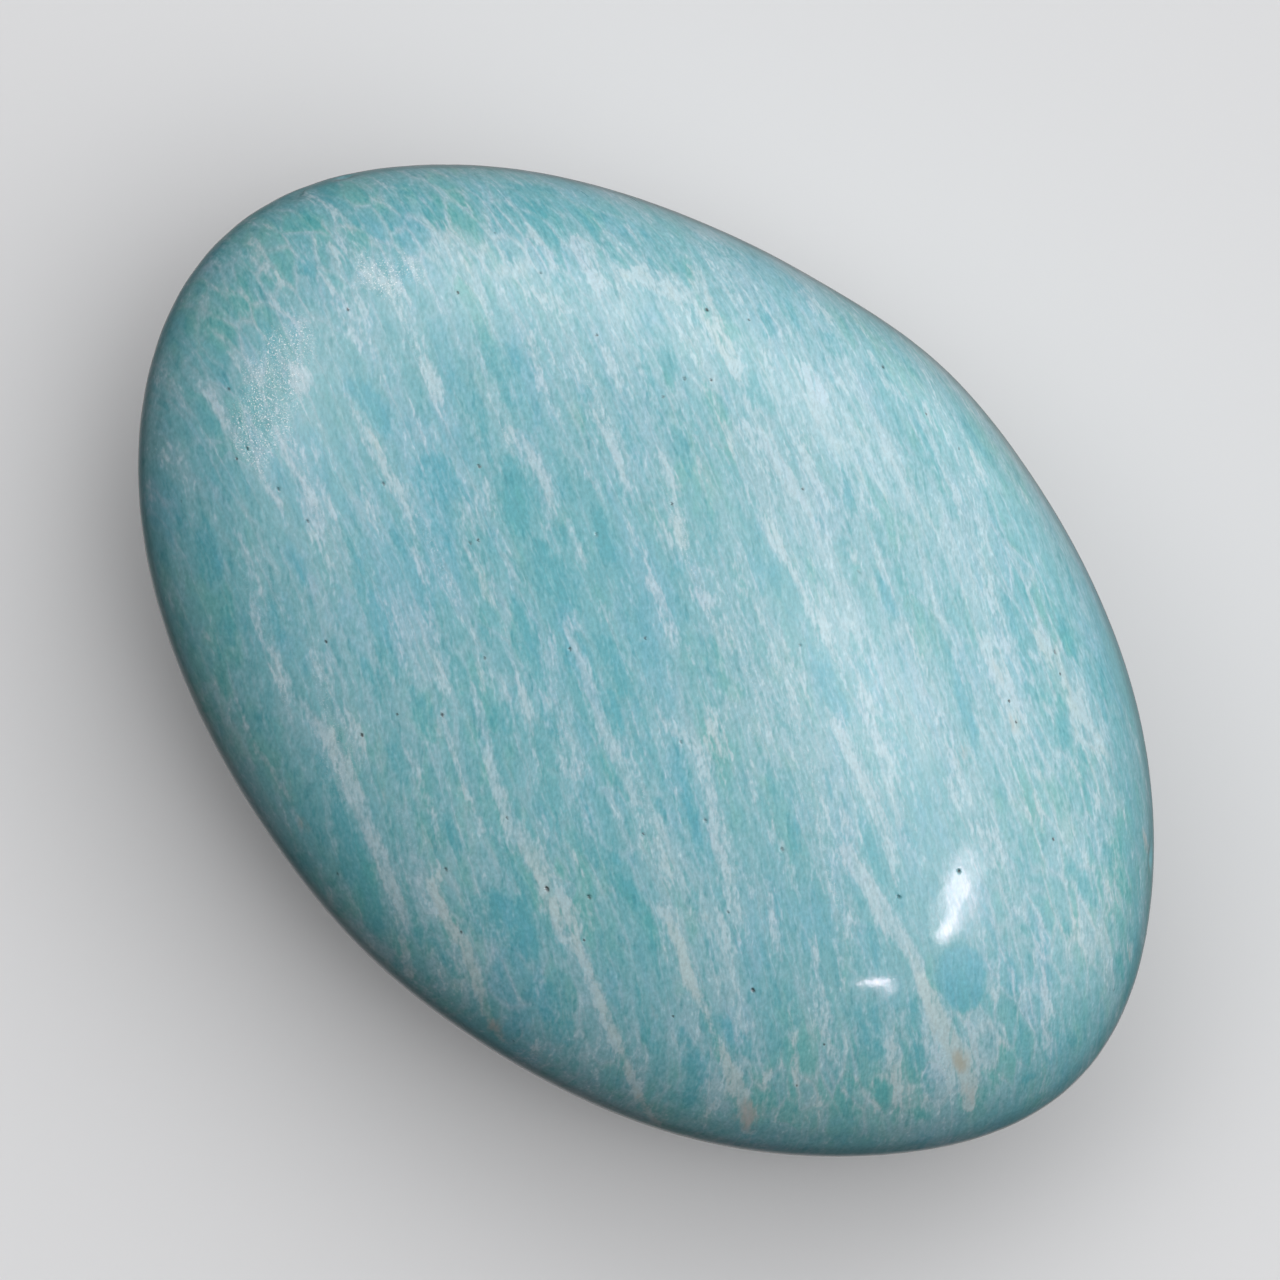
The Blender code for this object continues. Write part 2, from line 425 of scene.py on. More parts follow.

# Wide zones that are paler, or clearer where the strength is below 0. Two rows also stand in for
# light, as marked: painted sheen and painted shade.
HAZE_AND_PAINTED_LIGHT = (
    # Paler along the upper shoulder: partly pale matter, partly painted sheen where the broad
    # light is mirrored.
    (100, 0.6, 330, 340, 430, 290, 560, 290, 700, 310, 800, 380, 880, 450),
    (120, 0.5, 480, 380, 600, 400, 680, 440),
    (130, 0.6, 690, 370, 780, 450, 860, 540),
    (200, 0.9, 800, 420, 900, 560, 1000, 700),
    (110, 0.8, 1040, 680, 1020, 820),
    (140, 0.5, 780, 640, 880, 780),
    (120, 0.4, 700, 560, 760, 680),
    (90, 0.7, 1050, 560, 1080, 680, 1100, 780),
    (90, 0.7, 240, 680, 270, 780),
    (110, 0.8, 670, 980, 760, 1060),
    (110, 0.6, 880, 1040, 960, 1060),
    (100, 0.5, 980, 900, 1090, 940),
    (50, 0.4, 400, 640, 440, 760, 480, 860),
    (90, 0.3, 600, 800, 720, 880),
    (130, -0.9, 560, 520, 600, 640),
    (110, -0.4, 420, 500, 460, 600),
    (120, 0.5, 400, 340, 450, 410, 500, 480),
    (110, 0.6, 900, 430, 970, 540),
    (110, 0.9, 690, 840, 740, 960),
    (80, 0.6, 810, 340, 850, 370),
    (80, 0.5, 680, 270, 690, 350),
    (80, -0.6, 600, 700, 620, 790),
    # Clearer along the lower left flank: partly clearer matter, partly painted shade on the side
    # turned from the light.
    (100, -0.4, 190, 620, 240, 740, 320, 850),
    (80, 0.3, 190, 470, 200, 560),
    (110, 0.7, 330, 610, 340, 720),
    (90, 1.0, 960, 1060, 950, 1110),
    (80, -0.5, 820, 630, 830, 780),
    (90, 0.4, 470, 800, 540, 910),
    (80, -1.0, 300, 215, 400, 205),
    (100, -0.5, 250, 350, 300, 490),
    (80, -0.7, 540, 1030, 600, 1090),
    (80, -0.4, 480, 180, 560, 215),
    (60, -0.4, 930, 960, 990, 1000),
    (80, -0.6, 450, 990, 500, 1035),
)

# Where thin pale sheets part the clear matter into long cells.
NET_ZONES = (
    (130, 1.0, 240, 430, 250, 320, 330, 240, 460, 220, 640, 260),
    (120, 0.9, 1010, 560, 1060, 680, 1080, 800, 1070, 900, 1000, 1030, 870, 1080, 720, 1080),
    (100, 0.7, 620, 1070, 520, 990, 420, 880),
    (200, 0.3, 480, 640, 620, 860),
    (160, 0.3, 700, 360, 860, 480, 940, 620),
)

# Wide zones that are greener, or bluer where the strength is below 0.
HUE_ZONES = (
    (90, 0.8, 200, 330, 270, 240, 360, 190),
    (90, 0.9, 1060, 600, 1100, 720, 1120, 860, 1090, 980),
    (90, 1.0, 960, 1090, 830, 1100, 720, 1090),
    (160, -0.9, 270, 480, 400, 470, 420, 600),
    (120, -0.5, 740, 760, 700, 850),
    (120, -0.7, 610, 560, 640, 700),
)

# Iron stain.
STAINS = (
    (16, 0.6, 962, 755),
    (18, 1.0, 960, 1062, RUST),
    (26, 0.8, 745, 1105, 747, 1128, PINK),
    (20, 0.8, 492, 1020, 500, 1036, PINK),
    (14, 0.6, 640, 1098, 647, 1112, PINK),
    (9, 0.9, 1143, 832, 1149, 855, PINK),
    (14, 0.5, 655, 1012, RUST),
    (12, 0.7, 305, 825, RUST),
    (14, 0.5, 385, 795, RUST),
    (20, 0.4, 325, 630, RUST),
    (16, 0.4, 285, 730, RUST),
    (16, 0.6, 1015, 720, RUST),
    (16, 0.5, 1000, 670),
    (14, 0.5, 1130, 950, PINK),
    (22, 0.5, 968, 1093, PINK),
)

# Where the polish is dull and grainy, and where white specks are painted in as glints.
DULL_AND_GLINT_ZONES = (
    (55, 1.0, 295, 335, 262, 400, 256, 440),
    (32, 0.9, 365, 278, 412, 268),
    (70, 0.2, 250, 440, 250, 520, 270, 640, 350, 780, 430, 890, 520, 990),
)

# Dark pits: width in millimetres, and where they are in the photograph.
PITS = (
    (0.19, 348, 310), (0.18, 237, 459), (0.13, 229, 389), (0.20, 479, 466), (0.15, 470, 543),
    (0.13, 282, 317), (0.17, 458, 293), (0.27, 547, 889), (0.22, 589, 897), (0.17, 326, 642),
    (0.19, 362, 735), (0.14, 461, 932), (0.18, 442, 715), (0.17, 570, 649), (0.24, 753, 990),
    (0.14, 824, 1044), (0.18, 1053, 839), (0.20, 959, 871), (0.14, 1009, 701), (0.18, 883, 367),
    (0.14, 711, 380), (0.15, 926, 414), (0.20, 707, 310), (0.13, 495, 234), (0.13, 597, 335),
    (0.13, 749, 320), (0.13, 959, 449), (0.13, 803, 489), (0.13, 397, 714), (0.13, 478, 540),
    (0.13, 645, 638), (0.13, 485, 658), (0.13, 672, 504), (0.13, 859, 572), (0.13, 1016, 722),
    (0.13, 1060, 674), (0.13, 243, 722), (0.13, 507, 818), (0.13, 643, 834), (0.13, 728, 912),
    (0.13, 584, 940), (0.13, 797, 1085), (0.13, 673, 1016), (0.13, 976, 1076),
)

# Shallow dents in the edge: width and depth in millimetres, and place.
DENTS = (
    (1.5, 0.14, 345, 178),
    (1.2, 0.12, 1150, 858),
    (3.0, 0.10, 300, 196),
)

# Soft lights round the stone: turn from the photograph's right, tilt from overhead, how
# tight each one is, and its brightness.
SOFT_LIGHTS = (
    (155, 35, 25, 2.4),
    (100, 40, 25, 2.6),
    (60, 50, 17, 2.4),
    (5, 15, 60, 3.6),
    (320, 30, 33, 1.8),
    (10, 40, 17, 1.3),
    (40, 90, 17, 1.5),
    (345, 65, 9, 1.2),
)

# Small lights that the polish mirrors: the two ends of the glint in the photograph, the
# light's width in metres and its brightness.
GLINTS = (
    ("window", ((960, 864), (939, 937)), 0.027, 12.0),
    ("window_foot", ((941, 937), (962, 922)), 0.030, 9.0),
    ("window_glow", ((974, 846), (962, 920)), 0.050, 5.0),
    ("low_window", ((862, 984), (894, 984)), 0.014, 30.0),
    ("sparkle", ((300, 345), (256, 440)), 0.040, 9.0),
    ("side_strip", ((250, 560), (470, 940)), 0.030, 0.8),
)

# The glints are a little rosy against the stone.
GLINT_COLOUR = (1.0, 0.78, 0.86)


def linear(red, green, blue):
    """A colour given as it is seen, 0 to 255, as the values that a shader works with."""
    return tuple(
        c / 12.92 if c <= 0.04045 else ((c + 0.055) / 1.055) ** 2.4
        for c in (red / 255, green / 255, blue / 255)
    )


def as_rgba(colour):
    return (*colour, 1.0)


# Settings


class StoneShapeSettings(PropertyGroup):
    """Sizes of the stone's fine surface."""

    spacing: FloatProperty(
        name="Spacing",
        description="Distance between the points of the belly, twice that of the crown",
        default=0.53 * MM,
        min=0.2 * MM,
        unit="LENGTH",
        precision=5,
    )
    ripple_height: FloatProperty(
        name="Ripple height",
        description="Height of the shallow waves that grinding leaves",
        default=0.05 * MM,
        min=0.0,
        unit="LENGTH",
        precision=5,
    )
    ripple_size: FloatProperty(
        name="Ripple size",
        description="Distance from one shallow wave to the next",
        default=9.0 * MM,
        min=0.5 * MM,
        unit="LENGTH",
        precision=5,
    )
    pit_depth: FloatProperty(
        name="Pit depth",
        description="Depth of a pit as a share of its width",
        default=0.45,
        min=0.0,
        max=1.0,
        subtype="FACTOR",
    )
    small_pits: IntProperty(
        name="Small pits",
        description="How many more small pits are scattered over the whole stone",
        default=50,
        min=0,
    )
    seed: IntProperty(
        name="Seed",
        description="Picks where the scattered pits and the shallow waves lie",
        default=7,
        min=0,
    )


class StoneColourSettings(PropertyGroup):
    """Colours and polish of the amazonite."""

    deep: FloatVectorProperty(
        name="Deep teal",
        description="Clear amazonite between the streaks",
        subtype="COLOR",
        default=linear(99, 171, 182),
    )
    middle: FloatVectorProperty(
        name="Middle teal",
        description="Amazonite with fine streaks in it",
        subtype="COLOR",
        default=linear(120, 178, 187),
    )
    pale: FloatVectorProperty(
        name="Pale blue",
        description="Amazonite clouded by streaks",
        subtype="COLOR",
        default=linear(147, 187, 197),
    )
    white: FloatVectorProperty(
        name="Streak white",
        description="The thickest perthite streaks",
        subtype="COLOR",
        default=linear(172, 200, 208),
    )
    polish: FloatProperty(
        name="Polish",
        description="Roughness of the polished surface",
        default=0.34,
        min=0.0,
        max=1.0,
        subtype="FACTOR",
    )


class StageSettings(PropertyGroup):
    """Floor and light of the studio."""

    floor_colour: FloatVectorProperty(
        name="Floor colour",
        description="The plain pale floor",
        subtype="COLOR",
        default=(0.72, 0.72, 0.73),
    )
    brightness: FloatProperty(
        name="Brightness",
        description="Strength of all the soft lights",
        default=1.05,
        min=0.0,
    )
    ambient: FloatProperty(
        name="Ambient",
        description="Brightness of the even light from all round",
        default=0.03,
        min=0.0,
    )
    rim: FloatProperty(
        name="Rim light",
        description="Brightness of the low light that only the upper right rim mirrors",
        default=0.36,
        min=0.0,
    )
    backdrop: FloatProperty(
        name="Backdrop",
        description="Brightness of what the camera sees beyond the floor",
        default=0.8,
        min=0.0,
    )


# Seeing the stone as the photograph does


def photo_ray(px, py):
    """The camera's line of sight through a pixel of the photograph, as start and
    direction."""
    across = (px - STONE_CENTRE_PX[0]) * PIXEL
    up = (STONE_CENTRE_PX[1] - py) * PIXEL
    aim = IMAGE_RIGHT * across + IMAGE_UP * up + Vector((0, 0, GIRTH_HEIGHT))
    return CAMERA_PLACE, (aim - CAMERA_PLACE).normalized()


def place_seen_at(tree, px, py):
    """The point of the surface that the photograph shows at a pixel, and its normal."""
    place, normal, _, _ = tree.ray_cast(*photo_ray(px, py))
    if place is None:
        raise RuntimeError(f"pixel {px}, {py} isn't on the stone")
    return place, normal


# The fine surface

SAME_POINT = 0.001 * MM


def merged_solid(node):
    """The solid's points, triangles and smooth normals, from a copy with its doubles
    merged."""
    bm = bmesh.new()
    bm.from_mesh(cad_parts[node].data)
    bmesh.ops.remove_doubles(bm, verts=bm.verts, dist=SAME_POINT)
    bmesh.ops.triangulate(bm, faces=bm.faces)
    bm.normal_update()
    points = np.array([v.co for v in bm.verts])
    normals = np.array([v.normal for v in bm.verts])
    triangles = np.array([[v.index for v in face.verts] for face in bm.faces])
    bm.free()
    return points, triangles, normals


class RoundedSolid:
    """Casts points onto the solid with its flat facets rounded out."""

    ROUNDING = 0.75

    def __init__(self, node):
        self.points, self.triangles, self.normals = merged_solid(node)
        self.centre = (self.points.min(0) + self.points.max(0)) / 2
        self.half_size = (self.points.max(0) - self.points.min(0)) / 2
        self.tree = BVHTree.FromPolygons(self.points.tolist(), self.triangles.tolist())

    def cast(self, places):
        """Each place moved along its line from the centre onto the rounded surface."""
        centre = Vector(self.centre)
        hits = [self.tree.ray_cast(centre, Vector(place) - centre) for place in places]
        found = np.array([hit[0] for hit in hits])
        corners = self.triangles[[hit[2] for hit in hits]]
        a, b, c = (self.points[corners[:, k]] for k in range(3))
        shares = barycentric(found, a, b, c)
        pulled = np.zeros_like(found)
        for k, corner in enumerate((a, b, c)):
            normal = self.normals[corners[:, k]]
            height = ((found - corner) * normal).sum(1, keepdims=True)
            pulled += shares[:, k : k + 1] * (found - height * normal)
        rounded = found + self.ROUNDING * (pulled - found)
        on_foot = found[:, 2] < SAME_POINT
        rounded[on_foot] = found[on_foot]
        return rounded


def barycentric(p, a, b, c):
    ab, ac, ap = b - a, c - a, p - a
    d00 = (ab * ab).sum(1)
    d01 = (ab * ac).sum(1)
    d11 = (ac * ac).sum(1)
    d20 = (ap * ab).sum(1)
    d21 = (ap * ac).sum(1)
    scale = d00 * d11 - d01 * d01
    at_b = (d11 * d20 - d01 * d21) / scale
    at_c = (d00 * d21 - d01 * d20) / scale
    return np.stack([1 - at_b - at_c, at_b, at_c], axis=1)


# How much the other two half sizes add to the length of a quarter of the ellipsoid.
ARC_BULGE = 0.35


def box_grid(half_size, spacing):
    """A closed grid of four-sided faces, cast from a box onto an ellipsoid of that
    half size, so that no point is a pole."""
    counts = []
    for axis in range(3):
        others = [half_size[k] for k in range(3) if k != axis]
        quarter = math.pi / 4 * math.hypot(half_size[axis], ARC_BULGE * sum(others) / 2)
        counts.append(2 * max(2, round(quarter / spacing)))
    index = {}
    places = []

    def corner(lattice):
        if lattice not in index:
            index[lattice] = len(places)
            reach = [
                math.tan((2 * k / n - 1) * math.pi / 4) for k, n in zip(lattice, counts)
            ]
            length = math.hypot(*reach)
            places.append([size * r / length for size, r in zip(half_size, reach)])
        return index[lattice]

    faces = []
    for axis in range(3):
        first, second = (axis + 1) % 3, (axis + 2) % 3
        for side in (0, counts[axis]):
            for i in range(counts[first]):
                for j in range(counts[second]):
                    loop = [(i, j), (i + 1, j), (i + 1, j + 1), (i, j + 1)]
                    if side == 0:
                        loop.reverse()
                    face = []
                    for u, v in loop:
                        lattice = [0, 0, 0]
                        lattice[axis] = side
                        lattice[first] = u
                        lattice[second] = v
                        face.append(corner(tuple(lattice)))
                    faces.append(face)
    return np.array(places), faces


def point_tree(points):
    tree = KDTree(len(points))
    for k, point in enumerate(points):
        tree.insert(point, k)
    tree.balance()
    return tree


def refined(places, faces, fine_above, spots, reaches):
    """Halves the faces above a height, and then those near each spot once for each
    reach, the widest first."""
    bm = bmesh.new()
    verts = [bm.verts.new(place) for place in places]
    for face in faces:
        bm.faces.new([verts[k] for k in face])
    tree = point_tree(spots)
    tests = [lambda v: v.co.z > fine_above]
    tests += [lambda v, reach=reach: tree.find(v.co)[2] < reach for reach in reaches]
    for chosen in tests:
        near = {v for v in bm.verts if chosen(v)}
        edges = [e for e in bm.edges if e.verts[0] in near and e.verts[1] in near]
        bmesh.ops.subdivide_edges(bm, edges=edges, cuts=1, use_grid_fill=True)
    bmesh.ops.triangulate(bm, faces=[f for f in bm.faces if len(f.verts) > 4])
    bm.verts.index_update()
    found = np.array([v.co for v in bm.verts])
    loops = [[v.index for v in face.verts] for face in bm.faces]
    bm.free()
    return found, loops


def relaxed(places, faces, rounds):
    """Evens out what is left of the facets, and keeps the foot flat."""
    edges = {
        tuple(sorted((face[k], face[k - 1]))) for face in faces for k in range(len(face))
    }
    ends = np.array(sorted(edges))
    count = np.bincount(ends.ravel(), minlength=len(places))[:, None]
    for _ in range(rounds):
        total = np.zeros_like(places)
        np.add.at(total, ends[:, 0], places[ends[:, 1]])
        np.add.at(total, ends[:, 1], places[ends[:, 0]])
        places = places + 0.5 * (total / count - places)
        places[:, 2] = np.maximum(places[:, 2], 0.0)
    return places


# Marks placed one by one


class MarkPainter:
    """Works out how strongly rows of marks cover each point of the surface."""

    STEP_PX = 3.0

    # How far a spot reaches to either side of its middle, as a share of its width.
    SPOT_REACH = 0.55
    SPOT_STEPS = 7

    # A mark narrows towards its ends like half a sine wave that is cut short by this much.
    BLUNTNESS = 0.08

    def __init__(self, tree, places):
        self.tree = tree
        self.places = places

    def line_on_stone(self, points, width):
        """Even steps along a mark, as places on the stone and shares of its length. A
        spot is drawn out along the streaks."""
        place, normal = place_seen_at(self.tree, *points[0])
        if len(points) == 1:
            along = sheet_directions()[1]
            along = (along - normal * along.dot(normal)).normalized()
            shares = np.linspace(0, 1, self.SPOT_STEPS)
            reach = self.SPOT_REACH * width * PIXEL
            return np.array([place + along * reach * (2 * t - 1) for t in shares]), shares
        found = [place]
        for start, end in zip(points, points[1:]):
            steps = max(1, round(math.dist(start, end) / self.STEP_PX))
            for k in range(1, steps + 1):
                t = k / steps
                px = start[0] + t * (end[0] - start[0])
                py = start[1] + t * (end[1] - start[1])
                found.append(place_seen_at(self.tree, px, py)[0])
        return np.array(found), np.linspace(0, 1, len(found))

    def cover(self, width, coordinates, softness):
        """The points that a mark reaches, and its cover there: a half at its edge, and
        falling evenly to either side."""
        points = list(zip(coordinates[::2], coordinates[1::2]))
        line, shares = self.line_on_stone(points, width)
        along = self.BLUNTNESS + (1 - 2 * self.BLUNTNESS) * shares
        half_widths = width / 2 * PIXEL * np.sqrt(np.sin(math.pi * along))
        reach = half_widths.max() + softness
        inside = (self.places > line.min(0) - reach) & (self.places < line.max(0) + reach)
        reached = np.nonzero(inside.all(1))[0]
        apart = self.places[reached, None, :] - line[None, :, :]
        beyond = (np.sqrt((apart**2).sum(2)) - half_widths).min(1)
        return reached, np.clip(0.5 - beyond / (2 * softness), 0, 1)

    def paint(self, rows, softness):
        """The marks' cover, and the tint of what covers each point."""
        cover = np.zeros(len(self.places))
        tint = np.zeros(len(self.places))
        for width, strength, *coordinates in rows:
            mark_tint = coordinates.pop() if len(coordinates) % 2 else 0.0
            reached, share = self.cover(width, coordinates, softness)
            amount = strength * share
            tint[reached] += amount * (mark_tint - tint[reached])
            cover[reached] = np.maximum(cover[reached], amount)
        return cover, tint

    def haze(self, rows, softness):
        """Wide soft zones, added up with their strengths."""
        haze = np.zeros(len(self.places))
        for width, strength, *coordinates in rows:
            reached, share = self.cover(width, coordinates, softness)
            haze[reached] += strength * share * share * (3 - 2 * share)
        return haze


# How strongly the marks act on the clouding.
PALE_REACH = 1.35
CLEAR_REACH = 1.25

# How far the edges of marks and zones fade.
MARK_FADE = 0.28 * MM
STAIN_FADE = 0.6 * MM
DULL_FADE = 1.5 * MM
HAZE_FADE = 2.5 * MM
ZONE_FADE = 3.0 * MM


def painted_marks(tree, places):
    """The attributes that the marks and zones give. Cloud is below 0 in clear windows
    and above 0 in pale streaks."""
    painter = MarkPainter(tree, places)
    pale, pale_tint = painter.paint(PALE_STREAKS_AND_PAINTED_SHEEN, MARK_FADE)
    clear, clear_tint = painter.paint(CLEAR_WINDOWS, MARK_FADE)
    stain, stain_tint = painter.paint(STAINS, STAIN_FADE)
    return {
        # Cloud also carries the painted sheen and highlights among the pale streaks.
        "cloud": PALE_REACH * pale - CLEAR_REACH * clear * (1 - pale),
        "tint": pale_tint * pale + clear_tint * clear * (1 - pale),
        "stain": stain,
        "stain_tint": stain_tint,
        # Haze also carries painted sheen and painted shade.
        "haze": painter.haze(HAZE_AND_PAINTED_LIGHT, HAZE_FADE),
        "net": painter.haze(NET_ZONES, ZONE_FADE),
        "hue": painter.haze(HUE_ZONES, ZONE_FADE),
        # Where the polish is dull, and where glints are painted.
        "dull": painter.haze(DULL_AND_GLINT_ZONES, DULL_FADE),
    }


def store_values(mesh, name, values):
    attribute = mesh.attributes.new(name, "FLOAT", "POINT")
    attribute.data.foreach_set("value", np.asarray(values, dtype=np.float32))


# Node trees


class NodeWriter:
    """Writes a node tree. Inputs go by name or by their place in the node, and a value
    given to one is a number, a vector or the output of another node."""

    SINGLE_RESULTS = ("DOT_PRODUCT", "LENGTH")

    def __init__(self, tree):
        self.tree = tree

    def add(self, kind, inputs=(), **settings):
        node = self.tree.nodes.new(kind)
        for name, value in settings.items():
            setattr(node, name, value)
        for name, value in dict(inputs).items():
            self.give(node.inputs[name], value)
        return node

    def give(self, socket, value):
        if isinstance(value, bpy.types.NodeSocket):
            self.tree.links.new(value, socket)
        else:
            socket.default_value = value

    def math(self, operation, *values):
        return self.add("ShaderNodeMath", enumerate(values), operation=operation).outputs[0]

    def plus(self, *values):
        result = values[0]
        for value in values[1:]:
            result = self.math("ADD", result, value)
        return result

    def minus(self, first, second):
        return self.math("SUBTRACT", first, second)

    def times(self, first, second):
        return self.math("MULTIPLY", first, second)

    def centred(self, value, gain=1.0):
        """A noise's value as its departure from the middle."""
        return self.times(self.minus(value, 0.5), gain)

    def vector(self, operation, *values):
        node = self.add("ShaderNodeVectorMath", enumerate(values), operation=operation)
        return node.outputs["Value" if operation in self.SINGLE_RESULTS else "Vector"]

    def scaled(self, vector, scale):
        inputs = {0: vector, "Scale": scale}
        return self.add("ShaderNodeVectorMath", inputs, operation="SCALE").outputs["Vector"]

    def ramp(self, value, low, high, start=0.0, end=1.0, shape="LINEAR"):
        node = self.add(
            "ShaderNodeMapRange",
            {"Value": value, "From Min": low, "From Max": high, "To Min": start, "To Max": end},
            interpolation_type=shape,
        )
        return node.outputs["Result"]

    def smooth(self, value, low, high, start=0.0, end=1.0):
        return self.ramp(value, low, high, start, end, "SMOOTHSTEP")

    def noise(self, vector, detail=0.0, roughness=0.5, output="Fac"):
        node = self.add(
            "ShaderNodeTexNoise",
            {"Vector": vector, "Scale": 1.0, "Detail": detail, "Roughness": roughness},
        )
        return node.outputs[output]

    def mix(self, factor, first, second, blend="MIX"):
        inputs = {0: factor, 6: first, 7: second}
        node = self.add("ShaderNodeMix", inputs, data_type="RGBA", blend_type=blend)
        return node.outputs[2]

    def attribute(self, name):
        return self.add("ShaderNodeAttribute", attribute_name=name).outputs["Fac"]


# The amazonite

# The bends of the sheets, as size and reach in millimetres, and detail.
BENDS = ((16.0, 1.6, 0.0), (2.8, 0.26, 1.0), (0.8, 0.15, 1.0))

# How far the steeper of the two sets of sheets leans along its trace.
STEEP_LEAN = -0.2

# Noise drawn out along the sheets: its size in millimetres across, along and down them,
# where in the noise it starts, its detail and its roughness.
PATCH = ((4.0, 14.0, 9.0), 3.1, 1.0)
STREAK = ((1.1, 13.0, 8.0), 11.7, 3.0, 0.55)
HAIR = ((0.8, 15.0, 9.0), 41.3, 2.0)
FIBRE = ((0.40, 3.0, 2.0), 23.9, 2.0, 0.6)
STEEP_FIBRE = ((0.34, 2.0, 1.5), 27.3, 2.0, 0.6)
FINE_FIBRE = ((0.17, 0.5, 0.4), 33.1, 1.0)
DASH = ((0.30, 1.7, 1.2), 57.7, 0.0)
CRUMB = ((0.14, 0.22, 0.18), 87.3, 2.0, 0.6)
HUE_BAND = ((2.2, 9.0, 6.0), 71.1, 2.0, 0.6)
HUE_FLECK = ((0.5, 1.6, 1.2), 63.9, 1.0)
CELL = ((0.95, 3.4, 2.4), 91.7)

# Noise that isn't drawn out: its size in millimetres, its detail and its roughness.
HUE_CLOUD = (11.0, 1.0)
# The specks of the painted glints.
PAINTED_GLINT_SPECKS = (0.10, 2.0, 0.7)
GRAIN = (0.14, 1.0)
WAVE = (0.9, 1.0)

# What multiplies the colour on the blue and the green side, in clear and in pale matter.
BLUE_TINTS = ((0.96, 1.0, 1.065, 1), (1.01, 0.99, 1.03, 1))
GREEN_TINTS = ((0.97, 1.02, 0.93, 1), (1.06, 1.0, 0.95, 1))
DASH_TINT = (0.52, 0.78, 0.80, 1)

PINK_STAIN = linear(186, 176, 172)
RUST_STAIN = linear(168, 162, 140)
# The colour that the pits are darkened towards.
PIT_DARK_COLOUR = linear(34, 38, 38)
# The white of the painted glints.
PAINTED_GLINT_WHITE = (1.0, 1.0, 1.0, 1.0)


def sheet_directions():
    """Across the streaks' sheets, along their trace on a level face, and down the
    sheets."""
    right, up, out = ACROSS_SHEETS_SEEN
    across = (IMAGE_RIGHT * right + IMAGE_UP * up + Vector((0, 0, out))).normalized()
    along = across.cross(Vector((0, 0, -1))).normalized()
    return across, along, across.cross(along)


